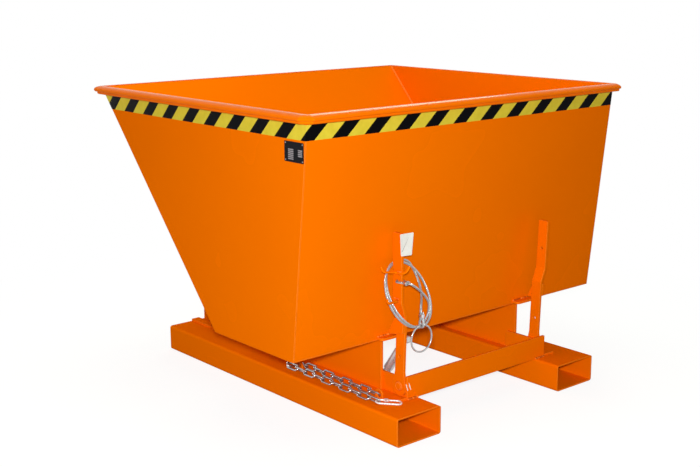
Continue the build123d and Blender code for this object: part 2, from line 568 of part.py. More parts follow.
# Pull ring, hung in the eye of the tail
ring_top = TAIL_EYE_Z - 16 + ROPE / 2 + RING_WIRE / 2 + 0.4
ring_centre_z = ring_top - (RING_OUTER - RING_WIRE) / 2
ring_plane = Plane(origin=(TAIL_X, eye_y, ring_centre_z), x_dir=(1, 0, 0), z_dir=(0, 1, 0))
parts["pull_ring"] = ring_plane.location * Torus((RING_OUTER - RING_WIRE) / 2, RING_WIRE / 2)


# Safety chain
def link_solid(centre, yaw_deg, roll_deg):
    radius = LINK_INNER_WIDTH / 2 + LINK_WIRE / 2
    half = LINK_INNER_LENGTH / 2 - LINK_INNER_WIDTH / 2
    yaw = math.radians(yaw_deg)
    roll = math.radians(roll_deg)
    direction = Vector(math.cos(yaw), math.sin(yaw), 0)
    flat = Vector(-math.sin(yaw), math.cos(yaw), 0)
    across = flat * math.cos(roll) + Vector(0, 0, 1) * math.sin(roll)
    plane = Plane(origin=centre, x_dir=direction, z_dir=direction.cross(across))
    loop = Wire([Line((0, -radius), (half, -radius)),
                 ThreePointArc((half, -radius), (half + radius, 0), (half, radius)),
                 Line((half, radius), (-half, radius)),
                 ThreePointArc((-half, radius), (-half - radius, 0), (-half, -radius)),
                 Line((-half, -radius), (0, -radius))])
    return plane.location * wire_sweep(loop, LINK_WIRE)


pitch = LINK_INNER_LENGTH - LINK_SLACK
links = []
out_count = 9
for i in range(out_count):
    roll = 45 if i % 2 == 0 else -45
    links.append(link_solid((CHAIN_X, CHAIN_FIRST_Y + i * pitch, CHAIN_AXIS_Z), 90, roll))
turn_y = CHAIN_FIRST_Y + (out_count - 1) * pitch
links.append(link_solid((CHAIN_X + TURN_OFFSET[0], turn_y + TURN_OFFSET[1], CHAIN_AXIS_Z + TURN_OFFSET[2]),
                        180, TURN_ROLL_DEG))
back_rolls = [-45, 45, -45, 45, -45, 45, -45, 46, -32, 60]
for i, roll in enumerate(back_rolls):
    lift = 1.7 if i == len(back_rolls) - 1 else 0.0
    links.append(link_solid((CHAIN_X + 2 * TURN_OFFSET[0], turn_y - i * pitch, CHAIN_AXIS_Z + lift), 90, roll))
parts["safety_chain"] = Compound(children=links)


# Chain lugs on the left pocket
def lug(x, y):
    side = [(y - LUG_WIDTH / 2, POCKET_HEIGHT), (y + LUG_WIDTH / 2, POCKET_HEIGHT),
            (y + LUG_WIDTH / 2, LUG_HOLE_Z), (y - LUG_WIDTH / 2, LUG_HOLE_Z)]
    body = yz_prism(side, x - LUG_THICK / 2, x + LUG_THICK / 2)
    body += x_cylinder(y, LUG_HOLE_Z, LUG_WIDTH, x - LUG_THICK / 2, x + LUG_THICK / 2)
    body -= box(x - LUG_THICK, x + LUG_THICK, y - LUG_WIDTH, y + LUG_WIDTH, 0, POCKET_HEIGHT)
    return body - x_cylinder(y, LUG_HOLE_Z, LUG_HOLE, x - LUG_THICK, x + LUG_THICK)


parts["chain_lug_rear"] = lug(CHAIN_X, LUG_REAR_Y)
parts["chain_lug_front"] = lug(*LUG_FRONT)

# Snap hook with a hinged gate
yaw, tip, roll = (math.radians(a) for a in (SNAP_YAW_DEG, SNAP_PITCH_DEG, SNAP_ROLL_DEG))
snap_dir = Vector(math.cos(yaw) * math.cos(tip), math.sin(yaw) * math.cos(tip), math.sin(tip))
snap_flat = Vector(-math.sin(yaw), math.cos(yaw), 0)
snap_across = snap_flat * math.cos(roll) + snap_dir.cross(snap_flat) * math.sin(roll)
snap_plane = Plane(origin=SNAP_CENTRE, x_dir=snap_dir, z_dir=snap_dir.cross(snap_across))
gate_x0 = SNAP_HALF - GATE_LENGTH
gate_x1 = SNAP_HALF
snap_curve = [Line((gate_x0 - 6, SNAP_RADIUS, 0), (-SNAP_HALF, SNAP_RADIUS, 0)),
              ThreePointArc((-SNAP_HALF, SNAP_RADIUS, 0), (-SNAP_HALF - SNAP_RADIUS, 0, 0),
                            (-SNAP_HALF, -SNAP_RADIUS, 0)),
              Line((-SNAP_HALF, -SNAP_RADIUS, 0), (SNAP_HALF, -SNAP_RADIUS, 0)),
              ThreePointArc((SNAP_HALF, -SNAP_RADIUS, 0), (SNAP_HALF + SNAP_RADIUS, 0, 0),
                            (SNAP_HALF, SNAP_RADIUS, 0))]
snap_wire = Wire(snap_curve)
snap_start = Plane(origin=snap_wire @ 0, z_dir=snap_wire % 0)
snap = sweep(snap_start * Circle(SNAP_WIRE / 2), path=snap_wire)
fork = Pos(gate_x0 - 3, SNAP_RADIUS, 0) * Box(14, 9, 9)
snap = snap + fork
cheek = GATE_TONGUE / 2 + GATE_PLAY
snap -= Pos(gate_x0 + 1.5, SNAP_RADIUS, 0) * Box(11, 20, 2 * cheek)
snap -= Pos(gate_x0, SNAP_RADIUS, 0) * Cylinder(GATE_PIN / 2, 30)
tongue = Pos(gate_x0, SNAP_RADIUS, 0) * Cylinder(3.6, GATE_TONGUE)
tongue += Pos(gate_x0 + 5, SNAP_RADIUS, 0) * Box(10, 6, GATE_TONGUE)
gate_rod_x0 = gate_x0 + 5.5
gate = Pos(gate_rod_x0, SNAP_RADIUS, 0) * Rot(0, 90, 0) * Cylinder(
    3.0, gate_x1 - GATE_PLAY - gate_rod_x0, align=(Align.CENTER, Align.CENTER, Align.MIN))
gate = gate + tongue
gate -= Pos(gate_x0, SNAP_RADIUS, 0) * Cylinder(GATE_PIN / 2 + GATE_PLAY, 30)
parts["snap_hook"] = snap_plane.location * snap
parts["snap_gate"] = snap_plane.location * gate
gate_pin = Pos(gate_x0, SNAP_RADIUS, 0) * Cylinder(GATE_PIN / 2, 9)
parts["snap_gate_pin"] = snap_plane.location * gate_pin
gate_hinge = snap_plane.from_local_coords(Vector(gate_x0, SNAP_RADIUS, 0))

# Export
move = Location((0, -SHIFT_Y, 0))
total = None
for name, solid in sorted(parts.items()):
    placed = solid.moved(move)
    export_step(placed, f"parts/{name}.step")
    bounds = placed.bounding_box()
    total = bounds if total is None else total.add(bounds)
    print(f"{name:22s} solids {len(placed.solids()):2d} volume {placed.volume / 1000:10.2f} cm3")
print("overall", total.size, "from", total.min, "to", total.max)
print("shift", round(SHIFT_Y, 3), "tilt hinge", round(ROLL_START_Y - SHIFT_Y, 3), round(ROLL_CENTRE_Z, 3))
print("latch hinge", round(SHAFT_Y - SHIFT_Y, 3), SHAFT_Z, "ring hinge", TAIL_X,
      round(eye_y - SHIFT_Y, 3), round(ring_top, 3))
print("strut hinge", -STRUT_X, round(STRUT_LOW_Y - SHIFT_Y, 3), STRUT_LOW_Z, "axis", strut_dir)
print("gate hinge", gate_hinge - Vector(0, SHIFT_Y, 0), "axis", snap_plane.z_dir)
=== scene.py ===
# %% [markdown]
# # A tipping hopper on fork pockets
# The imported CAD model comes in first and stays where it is. Everything made below is laid
# round it, in metres, in the same frame: X to the right, +Y to the pouring side, Z up.

# %% Load the frame
import json
import math

import bmesh
import bpy
from mathutils import Matrix, Vector


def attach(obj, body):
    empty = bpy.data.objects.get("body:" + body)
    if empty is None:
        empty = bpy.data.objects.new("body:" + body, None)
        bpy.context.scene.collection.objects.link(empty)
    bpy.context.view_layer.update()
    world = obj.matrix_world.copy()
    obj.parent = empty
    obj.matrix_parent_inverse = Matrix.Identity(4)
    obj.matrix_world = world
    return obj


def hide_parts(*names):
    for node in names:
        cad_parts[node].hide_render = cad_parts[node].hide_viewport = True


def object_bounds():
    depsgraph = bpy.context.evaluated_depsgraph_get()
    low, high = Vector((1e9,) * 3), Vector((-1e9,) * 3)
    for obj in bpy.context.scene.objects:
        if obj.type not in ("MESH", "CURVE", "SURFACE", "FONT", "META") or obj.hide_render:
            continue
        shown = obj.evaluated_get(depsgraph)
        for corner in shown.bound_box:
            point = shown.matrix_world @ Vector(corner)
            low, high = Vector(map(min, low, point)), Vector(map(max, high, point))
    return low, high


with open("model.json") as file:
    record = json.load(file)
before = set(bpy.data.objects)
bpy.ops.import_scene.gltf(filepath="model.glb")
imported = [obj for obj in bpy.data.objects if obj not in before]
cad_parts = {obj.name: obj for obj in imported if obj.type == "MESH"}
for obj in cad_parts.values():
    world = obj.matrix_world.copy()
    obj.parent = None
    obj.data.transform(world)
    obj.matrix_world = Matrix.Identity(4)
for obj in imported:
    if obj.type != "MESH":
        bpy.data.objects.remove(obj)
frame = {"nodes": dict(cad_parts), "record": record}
cad_low, cad_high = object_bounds()
scene = bpy.context.scene
scene.view_settings.view_transform = "Standard"

# %% [markdown]
# The part's source counts y from the rear ends of the pockets and works in millimetres.
# One function turns such a point into the shared frame, so both files use the same numbers.

# %% Points in millimetres
MM_PER_M = 1000


def at(x, y, z):
    return Vector((x / MM_PER_M, y / MM_PER_M + cad_low.y, z / MM_PER_M))


print("rear end of the pockets at y", round(at(0, 0, 0).y, 4))

# %% [markdown]
# The camera stands behind the left rear corner, a little above the rim. Its place and lens
# were worked out from the straight edges of the hopper and from the stripes of the tape.
# The turn is built from three directions, because that keeps the small roll to the right.

# %% Camera
CAMERA_PLACE = at(-2923.53, -2613.26, 1514.86)
VIEW_YAW, VIEW_PITCH, VIEW_ROLL = 0.7050778, -0.2194889, -0.0044256
FOCAL_PIXELS, IMAGE_WIDTH, SENSOR_WIDTH = 1164.741, 700, 36
camera_data = bpy.data.cameras.new("camera")
camera_data.sensor_width = SENSOR_WIDTH
camera_data.lens = FOCAL_PIXELS / IMAGE_WIDTH * SENSOR_WIDTH
camera = bpy.data.objects.new("camera", camera_data)
scene.collection.objects.link(camera)
ahead = Vector((math.sin(VIEW_YAW) * math.cos(VIEW_PITCH), math.cos(VIEW_YAW) * math.cos(VIEW_PITCH),
                math.sin(VIEW_PITCH)))
level = ahead.cross(Vector((0, 0, 1))).normalized()
right = level * math.cos(VIEW_ROLL) + level.cross(ahead) * math.sin(VIEW_ROLL)
turn = Matrix((right, right.cross(ahead), -ahead)).transposed()
camera.matrix_world = Matrix.Translation(CAMERA_PLACE) @ turn.to_4x4()
scene.camera = camera
print("lens", round(camera_data.lens, 2), "mm")

# %% [markdown]
# Every finish is a node tree. One small function adds a node, sets it and links it, and one
# turns a written colour into the linear numbers that the shader wants. No real surface has
# one even colour, so a third function mixes two tones by a noise of a given size in metres.

# %% Helpers for finishes
MIX_SHARE, MIX_FIRST, MIX_SECOND, MIX_RESULT = 0, 6, 7, 2
SOFT_DETAIL, FINE_DETAIL = 3.0, 4.0
finishes = {}


def linear(code):
    channels = [int(code[i:i + 2], 16) / 255 for i in (1, 3, 5)]
    return tuple(c / 12.92 if c <= 0.04045 else ((c + 0.055) / 1.055) ** 2.4 for c in channels) + (1.0,)


def add(tree, kind, values=None, links=None, **settings):
    node = tree.nodes.new(kind)
    for key, value in settings.items():
        setattr(node, key, value)
    for socket, value in (values or {}).items():
        node.inputs[socket].default_value = value
    for socket, source in (links or {}).items():
        tree.links.new(source, node.inputs[socket])
    return node


def new_material(name):
    material = bpy.data.materials.new(name)
    material.use_nodes = True
    tree = material.node_tree
    tree.nodes.clear()
    place = add(tree, "ShaderNodeTexCoord").outputs["Object"]
    return material, tree, place


def two_tones(tree, place, size, detail, first, second):
    cloud = add(tree, "ShaderNodeTexNoise", {"Scale": 1 / size, "Detail": detail}, {"Vector": place})
    colour = add(tree, "ShaderNodeMix", {MIX_FIRST: linear(first), MIX_SECOND: linear(second)},
                 {MIX_SHARE: cloud.outputs[0]}, data_type="RGBA")
    return cloud.outputs[0], colour.outputs[MIX_RESULT]


def finish_material(tree, shader):
    add(tree, "ShaderNodeOutputMaterial", links={"Surface": shader.outputs[0]})


print("white is", linear("#FFFFFF"))

# %% [markdown]
# The hopper is sheet steel sprayed with a glossy orange enamel. Close up it has a fine
# orange-peel ripple some 4 mm across, and over a wall the film varies a little in depth.
# A bevel node rounds the light at sharp edges, as paint does when it draws back from them, and a
# paler orange is painted in along them as an edge highlight. The walls show no white sheen, so
# their gloss comes from a
# small metallic share, which takes the paint's own colour. The rolled rim catches a pale line
# of light along its back, so its paint is smoother and keeps a trace of clear gloss.

# %% Orange enamel
PEEL_SIZE, PEEL_STRENGTH, PEEL_DEPTH = 0.004, 0.06, 0.0004
CLOUD_SIZE, EDGE_RADIUS, EDGE_SAMPLES = 0.45, 0.0025, 4
FLAT_COSINE, EDGE_COSINE = 0.985, 0.86
PAINTED_EDGE_HIGHLIGHT, WARM_SHEEN, ENAMEL_IOR = "#FF9440", "#FF9A20", 1.5


def enamel(name, deep, bright, rough_low, rough_high, pale, gloss, metal):
    material, tree, place = new_material(name)
    cloud, colour = two_tones(tree, place, CLOUD_SIZE, SOFT_DETAIL, deep, bright)
    rough = add(tree, "ShaderNodeMapRange", {"To Min": rough_low, "To Max": rough_high}, {"Value": cloud})
    peel = add(tree, "ShaderNodeTexNoise", {"Scale": 1 / PEEL_SIZE, "Detail": 1.0}, {"Vector": place})
    edge = add(tree, "ShaderNodeBevel", {"Radius": EDGE_RADIUS}, samples=EDGE_SAMPLES)
    bump = add(tree, "ShaderNodeBump", {"Strength": PEEL_STRENGTH, "Distance": PEEL_DEPTH},
               {"Height": peel.outputs[0], "Normal": edge.outputs[0]})
    facing = add(tree, "ShaderNodeNewGeometry")
    flat = add(tree, "ShaderNodeVectorMath", links={0: edge.outputs[0], 1: facing.outputs["True Normal"]},
               operation="DOT_PRODUCT")
    # Painted edge highlight: a paler orange is mixed in where the bevel normal turns from the true one.
    edge_highlight = add(tree, "ShaderNodeMapRange", {"From Min": FLAT_COSINE, "From Max": EDGE_COSINE, "To Max": pale},
               {"Value": flat.outputs["Value"]})
    coat = add(tree, "ShaderNodeMix", {MIX_SECOND: linear(PAINTED_EDGE_HIGHLIGHT)},
               {MIX_SHARE: edge_highlight.outputs[0], MIX_FIRST: colour}, data_type="RGBA")
    shader = add(tree, "ShaderNodeBsdfPrincipled",
                 {"IOR": ENAMEL_IOR, "Specular IOR Level": gloss, "Specular Tint": linear(WARM_SHEEN),
                  "Metallic": metal},
                 {"Base Color": coat.outputs[MIX_RESULT], "Roughness": rough.outputs[0],
                  "Normal": bump.outputs[0]})
    finish_material(tree, shader)
    finishes[name] = material


# pale is the share of the painted edge highlight along sharp edges.
enamel("orange_paint", "#EC6C00", "#F27200", 0.2, 0.32, pale=0.75, gloss=0.0, metal=0.05)
enamel("orange_paint_rim", "#EC6C00", "#F27200", 0.08, 0.16, pale=0.2, gloss=0.012, metal=0.03)
print("enamels", sorted(finishes))

# %% [markdown]
# The small metal parts have no paint. One function makes them all from a pair of tones, a
# roughness, the size of the grain and a metallic share. The share is below one where an oxide
# or a plating dulls the metal. The grain is drawn coarser than the real one, so that it shows.

# %% Bare metals
GRAIN_STRENGTH, GRAIN_DEPTH = 0.12, 0.0003
SMOOTH_PART, ROUGH_PART = 0.7, 1.4


def bare_metal(name, dark, pale, roughness, grain, metal=1.0):
    material, tree, place = new_material(name)
    cloud, colour = two_tones(tree, place, grain, FINE_DETAIL, dark, pale)
    rough = add(tree, "ShaderNodeMapRange",
                {"To Min": roughness * SMOOTH_PART, "To Max": roughness * ROUGH_PART}, {"Value": cloud})
    bump = add(tree, "ShaderNodeBump", {"Strength": GRAIN_STRENGTH, "Distance": GRAIN_DEPTH},
               {"Height": cloud})
    shader = add(tree, "ShaderNodeBsdfPrincipled", {"Metallic": metal},
                 {"Base Color": colour, "Roughness": rough.outputs[0], "Normal": bump.outputs[0]})
    finish_material(tree, shader)
    finishes[name] = material


# Drawn steel mirrors the room softly and stays pale.
bare_metal("bright_steel", "#B4B7BA", "#DADCDF", 0.3, 0.006, 0.6)
# Zinc plate on the chain is cloudy. Its dark and bright patches are partly its own tone and partly
# painted dark reflections and glints that make the links sparkle.
bare_metal("zinc_plate", "#77797A", "#DCDEDF", 0.15, 0.012, 0.85)
# A paler copy of the zinc for the snap hook: its nearly white tone paints the hook's bright sheen.
bare_metal("zinc_with_painted_sheen", "#C6CACC", "#F2F4F5", 0.25, 0.006, 0.5)
# Cast bronze is a warm brown with a soft shine.
bare_metal("bearing_bronze", "#8A6A34", "#B08A4C", 0.4, 0.005)
# Pressed aluminium is light grey, with a blurred shine from the crimping tool.
bare_metal("crimp_aluminium", "#B9BCC0", "#D8DADD", 0.35, 0.004)
# Etched aluminium is a matt middle grey.
bare_metal("etched_aluminium", "#7C7678", "#A09A9C", 0.5, 0.002)
print("finishes", sorted(finishes))

# %% [markdown]
# The record names a finish for each CAD node. The node keeps its shape and takes the new
# material in the slot that it came with. The snap hook takes the paler zinc with its painted sheen.

# %% Dress the CAD nodes
dressed = 0
for entry in frame["record"]["subparts"]:
    finish = entry["material_slot"]
    # The snap hook gets the paler zinc, whose tone paints its sheen.
    if entry["node"].startswith("snap_"):
        finish = "zinc_with_painted_sheen"
    if finish in finishes:
        for slot in frame["nodes"][entry["node"]].material_slots:
            slot.material = finishes[finish]
            dressed += 1
print("dressed nodes", dressed)

# %% [markdown]
# The pull rope is a steel cable. It goes through the left lever in a crimped eye, hangs in
# two loose turns over the hooks and ends in a second eye that carries a ring. The turns are a
# skewed oval that leans with the lever. After most of a turn the rope steps aside, so that it
# lies beside itself. On the right the second turn lies a few millimetres closer to the first.

# %% Points of the pull rope
COIL_X, COIL_Y, COIL_Z = -325.0, 144.0, 459.7
COIL_HALF_WIDTH, COIL_HALF_HEIGHT = 93.2, 111.9
COIL_SKEW, COIL_TILT, COIL_STEP = math.radians(10.2), 0.30, 10.0
STEP_FROM, STEP_OVER = 275.0, 85.0
CLOSE_SHARE, CLOSE_UNTIL, CLOSE_OVER = 0.6, 395.0, 30.0
TURN_FROM, TURN_ANGLE, TURN_POINTS = 40, 27.5, 22
eye_points = [(-368.35, 98.96, 513), (-368.35, 115.16, 513), (-374.6, 125.96, 513), (-378.6, 146.96, 513),
              (-349.4, 146.96, 513), (-353.4, 125.96, 513), (-359.65, 115.16, 513), (-359.65, 90.96, 513)]
lead_points = [(-343, 87, 501), (-308, 95, 477), (-272, 106, 448), (-250, 113, 418)]
tail_points = [(-284, 188, 568), (-261, 182, 530), (-251, 168, 493.5), (-266, 138, 464), (-290, 110, 447),
               (-316, 86.85, 427.6), (-316, 86.85, 387.6), (-316, 92.85, 371.6), (-316, 88.85, 357.6),
               (-316, 76.15, 357.6), (-316, 72.15, 371.6), (-316, 78.15, 387.6), (-316, 78.15, 409.6)]


def ramp(share):
    return min(1.0, max(0.0, share))


def coil_point(degrees):
    t = math.radians(degrees)
    s = t + COIL_SKEW
    track = COIL_STEP * ramp((degrees - STEP_FROM) / STEP_OVER)
    z = COIL_Z - COIL_HALF_HEIGHT * math.sin(s)
    outward = Vector((COIL_HALF_HEIGHT * math.cos(s), 0, -COIL_HALF_WIDTH * math.sin(t))).normalized()
    close = 1.0 - CLOSE_SHARE * max(0.0, math.cos(s)) * ramp((CLOSE_UNTIL - degrees) / CLOSE_OVER)
    spread = outward * (track * math.cos(s) * close)
    y = COIL_Y + COIL_TILT * (z + spread.z - COIL_Z) - track * math.sin(s)
    return (COIL_X + COIL_HALF_WIDTH * math.cos(t) + spread.x, y, z + spread.z)


turn_points = [coil_point(TURN_FROM + TURN_ANGLE * i) for i in range(TURN_POINTS)]
route = [at(*p) for p in eye_points + lead_points + turn_points + tail_points]
print("route points", len(route))

# %% [markdown]
# A stiff cable can't turn a sharp corner, so its line is one smooth spline by those points. The
# spline is turned to a mesh only to read its points, and the ones that fall together are left out.

# %% Line of the pull rope
LINE_ORDER, LINE_STEPS, LEAST_STEP = 3, 14, 0.0002
line = bpy.data.curves.new("rope_line", "CURVE")
line.dimensions = "3D"
spline = line.splines.new("NURBS")
spline.points.add(len(route) - 1)
for point, place in zip(spline.points, route):
    point.co = (*place, 1.0)
spline.order_u = LINE_ORDER
spline.use_endpoint_u = True
spline.resolution_u = LINE_STEPS
line_object = bpy.data.objects.new("rope_line", line)
line_mesh = bpy.data.meshes.new_from_object(line_object)
rope_path = [line_mesh.vertices[0].co.copy()]
for vertex in line_mesh.vertices:
    if (vertex.co - rope_path[-1]).length > LEAST_STEP:
        rope_path.append(vertex.co.copy())
rope_length = sum((b - a).length for a, b in zip(rope_path, rope_path[1:]))
bpy.data.objects.remove(line_object)
print("rope points", len(rope_path), "length", round(rope_length, 4))

# %% [markdown]
# A wire rope's strands lie side by side round a core and go once round in about six
# diameters. Each strand is a spline of its own on a frame that is carried along the line
# without twisting, and the set is turned to a mesh, so that it can be measured and exported.

# %% Strands of the pull rope
ROPE_DIAMETER, STRAND_COUNT, STRANDS_ACROSS, LAY_LENGTH = 0.008, 6, 3, 0.05
strand_radius = ROPE_DIAMETER / 2 / STRANDS_ACROSS
strands = bpy.data.curves.new("strands", "CURVE")
strands.dimensions = "3D"
strands.bevel_depth = strand_radius
strands.bevel_resolution = 1
strands.use_fill_caps = True
sides = []
side = (rope_path[1] - rope_path[0]).orthogonal().normalized()
travel = [0.0]
for i, place in enumerate(rope_path):
    along = (rope_path[min(i + 1, len(rope_path) - 1)] - rope_path[max(i - 1, 0)]).normalized()
    side = (side - along * side.dot(along)).normalized()
    sides.append((side.copy(), along.cross(side)))
    if i:
        travel.append(travel[-1] + (place - rope_path[i - 1]).length)
for k in range(STRAND_COUNT + 1):
    strand = strands.splines.new("POLY")
    strand.points.add(len(rope_path) - 1)
    reach = 0.0 if k == STRAND_COUNT else 2 * strand_radius
    for point, place, (across, over), run in zip(strand.points, rope_path, sides, travel):
        angle = 2 * math.pi * (k / STRAND_COUNT + run / LAY_LENGTH)
        point.co = (*(place + (across * math.cos(angle) + over * math.sin(angle)) * reach), 1.0)
strand_object = bpy.data.objects.new("strands", strands)
rope = bpy.data.objects.new("rope_strands", bpy.data.meshes.new_from_object(strand_object))
bpy.data.objects.remove(strand_object)
scene.collection.objects.link(rope)
for face in rope.data.polygons:
    face.use_smooth = True
print("rope faces", len(rope.data.polygons))

# %% [markdown]
# The cable is drawn steel under a thin clear plastic skin: pale grey, with a soft gloss over
# the metal. The skin is the shader's coat, so the strands under it stay to be seen.

# %% Covered cable
CABLE_CLOUD = 0.02
material, tree, place = new_material("clear_covered_cable")
cloud, colour = two_tones(tree, place, CABLE_CLOUD, SOFT_DETAIL, "#8B9093", "#C3C8CA")
shader = add(tree, "ShaderNodeBsdfPrincipled",
             {"Metallic": 0.55, "Roughness": 0.35, "Coat Weight": 0.8, "Coat Roughness": 0.12},
             {"Base Color": colour})
finish_material(tree, shader)
rope.data.materials.append(material)
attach(rope, "latch")
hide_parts("pull_rope")

# %% [markdown]
# New pieces are made in a bmesh and become objects at the origin, with their place in the
# mesh. Many start as a flat outline that is pushed out to its thickness, so two helpers do that.
# The third turns a mesh's faces outward, makes it an object and lets it ride on a body.

# %% Make a piece
def outline_face(bm, points):
    return bm.faces.new([bm.verts.new(p) for p in points])


def thicken(bm, push):
    made = bmesh.ops.extrude_face_region(bm, geom=bm.faces[:])["geom"]
    bmesh.ops.translate(bm, vec=push, verts=[g for g in made if isinstance(g, bmesh.types.BMVert)])


def piece(name, bm, material, body, smooth=False):
    bmesh.ops.recalc_face_normals(bm, faces=bm.faces)
    mesh = bpy.data.meshes.new(name)
    bm.to_mesh(mesh)
    bm.free()
    for face in mesh.polygons:
        face.use_smooth = smooth
    mesh.materials.append(material)
    made = bpy.data.objects.new(name, mesh)
    scene.collection.objects.link(made)
    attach(made, body)
    return made


# %% [markdown]
# The rear wall leans out a little and the front wall slopes far out, to pour. Both are straight
# lines in the side view, so two functions give a wall's y at any height.

# %% Walls of the hopper
WALL_X, WALL_TOP = 748.0, 1097.0
FLOOR_Z, FLOOR_REAR_Y, FLOOR_FRONT_Y = 289.0, 229.0, 675.0
REAR_SLOPE, FRONT_SLOPE = 0.1084, 0.9012


def rear_y(z):
    return FLOOR_REAR_Y - REAR_SLOPE * (z - FLOOR_Z)


def front_y(z):
    return FLOOR_FRONT_Y + FRONT_SLOPE * (z - FLOOR_Z)


print("opening from y", round(rear_y(WALL_TOP), 1), "to", round(front_y(WALL_TOP), 1))

# %% [markdown]
# The rim is a sheet rolled outward over the wall tops, with its four corners cut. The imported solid
# has a flat flange and a lip there, so the rolled form is made here: its section is a stretch of
# an ellipse with a small round lip under it. Each point of the section goes round the wall tops as
# a ring of eight corners, and the front of the ring leans with its wall.

# %% Section of the rim
SHEET, RIM_CUT, LEAST_CUT, SEAT_GAP, EDGE_DROP, LIP_BACK = 3.5, 38.0, 0.6, 0.1, 0.4, 0.4
ROLL_OUT, ROLL_Z, ROLL_WIDE, ROLL_HIGH, ROLL_FROM, ROLL_TO, ROLL_STEPS = 6.0, 1088.0, 32.0, 12.5, 90, -25, 14
LIP_OUT, LIP_Z, LIP_RADIUS, LIP_FROM, LIP_TO, LIP_STEPS = 25.0, 1078.0, 5.5, 50, -90, 8


def arc(out, z, wide, high, start, end, steps):
    angles = [math.radians(start + (end - start) * i / steps) for i in range(steps + 1)]
    return [(out + wide * math.cos(a), z + high * math.sin(a)) for a in angles]


def ring_corners(out, z):
    x = WALL_X + out
    rear = rear_y(WALL_TOP) - out
    front = front_y(min(z, WALL_TOP)) + out
    cut = max(LEAST_CUT, RIM_CUT * (out + SHEET) / (ROLL_OUT + ROLL_WIDE + SHEET))
    return [at(*p, z) for p in ((-x, rear + cut), (-x + cut, rear), (x - cut, rear), (x, rear + cut),
                                (x, front - cut), (x - cut, front), (-x + cut, front), (-x, front - cut))]


section = [(-SHEET, WALL_TOP + SEAT_GAP), (-SHEET, ROLL_Z + ROLL_HIGH - EDGE_DROP)]
section += arc(ROLL_OUT, ROLL_Z, ROLL_WIDE, ROLL_HIGH, ROLL_FROM, ROLL_TO, ROLL_STEPS)
section += arc(LIP_OUT, LIP_Z, LIP_RADIUS, LIP_RADIUS, LIP_FROM, LIP_TO, LIP_STEPS)
section += [(LIP_BACK, LIP_Z - LIP_RADIUS), (LIP_BACK, WALL_TOP + SEAT_GAP)]
rings = [ring_corners(*p) for p in section]
print("section points", len(section))

# %% [markdown]
# Every length of the rim stays its own piece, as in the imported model, and takes the place of its
# node there. A length is two section faces with a bridge between them. It is shaded smooth, and
# edges sharper than a set angle stay crisp.

# %% Lengths of the rim
CRISP_ANGLE = math.radians(40)
lengths = ["corner_rear_left", "rear", "corner_rear_right", "side_right", "corner_front_right", "front",
           "corner_front_left", "side_left"]
for i, length in enumerate(lengths):
    bm = bmesh.new()
    ends = [outline_face(bm, [ring[k % len(lengths)] for ring in rings]) for k in (i, i + 1)]
    bmesh.ops.bridge_loops(bm, edges=[e for face in ends for e in face.edges])
    made = piece("rolled_" + length, bm, finishes["orange_paint_rim"], "hopper", smooth=True)
    made.data.set_sharp_from_angle(angle=CRISP_ANGLE)
    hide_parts("rim_" + length)
print("rim lengths", len(lengths))

# %% [markdown]
# A warning tape of slanting yellow and black bars runs under the rim. It is a printed vinyl film:
# nearly matt, a little uneven from the wall under it, its yellow faded in patches. The bars come
# from the tape's own UV map, which counts metres along the tape and up from its lower edge, so
# that the difference of the two gives a slant of 45 degrees.

# %% Tape finish
STRIPE_PERIOD, YELLOW_WIDTH, FADE_SIZE = 0.133, 0.070, 0.03
tape_finish, tree, place = new_material("printed_vinyl_tape")
strip_uv = add(tree, "ShaderNodeUVMap", uv_map="tape")
split = add(tree, "ShaderNodeSeparateXYZ", links={0: strip_uv.outputs[0]})
slant = add(tree, "ShaderNodeMath", links={0: split.outputs[0], 1: split.outputs[1]}, operation="SUBTRACT")
turns = add(tree, "ShaderNodeMath", {1: STRIPE_PERIOD}, {0: slant.outputs[0]}, operation="DIVIDE")
share = add(tree, "ShaderNodeMath", links={0: turns.outputs[0]}, operation="FRACT")
is_yellow = add(tree, "ShaderNodeMath", {1: YELLOW_WIDTH / STRIPE_PERIOD}, {0: share.outputs[0]},
                operation="LESS_THAN")
fade, yellow = two_tones(tree, place, FADE_SIZE, FINE_DETAIL, "#C4B22E", "#E0CC40")
colour = add(tree, "ShaderNodeMix", {MIX_FIRST: linear("#050507")},
             {MIX_SHARE: is_yellow.outputs[0], MIX_SECOND: yellow}, data_type="RGBA")
bump = add(tree, "ShaderNodeBump", {"Strength": 0.08, "Distance": 0.0004}, {"Height": fade})
shader = add(tree, "ShaderNodeBsdfPrincipled", {"Roughness": 0.45, "Specular IOR Level": 0.02},
             {"Base Color": colour.outputs[MIX_RESULT], "Normal": bump.outputs[0]})
finish_material(tree, shader)
print("bars every", STRIPE_PERIOD * MM_PER_M, "mm")

# %% [markdown]
# The tape goes along both sides and the rear. Each strip is one quad laid on its wall and given the
# film's thickness. The two starts put the bars where they are on the real walls.

# %% Tape strips
TAPE_LOW, TAPE_HIGH, FILM = 1018.0, 1068.0, 0.4
LEFT_START, REAR_START = 307.5, -714.0


def tape_strip(name, corners, outward, along):
    bm = bmesh.new()
    outline_face(bm, [at(*c) for c in corners])
    thicken(bm, outward * (FILM / MM_PER_M))
    layer = bm.loops.layers.uv.new("tape")
    for face in bm.faces:
        for loop in face.loops:
            loop[layer].uv = (along(loop.vert.co), loop.vert.co.z - TAPE_LOW / MM_PER_M)
    return piece(name, bm, tape_finish, "hopper")


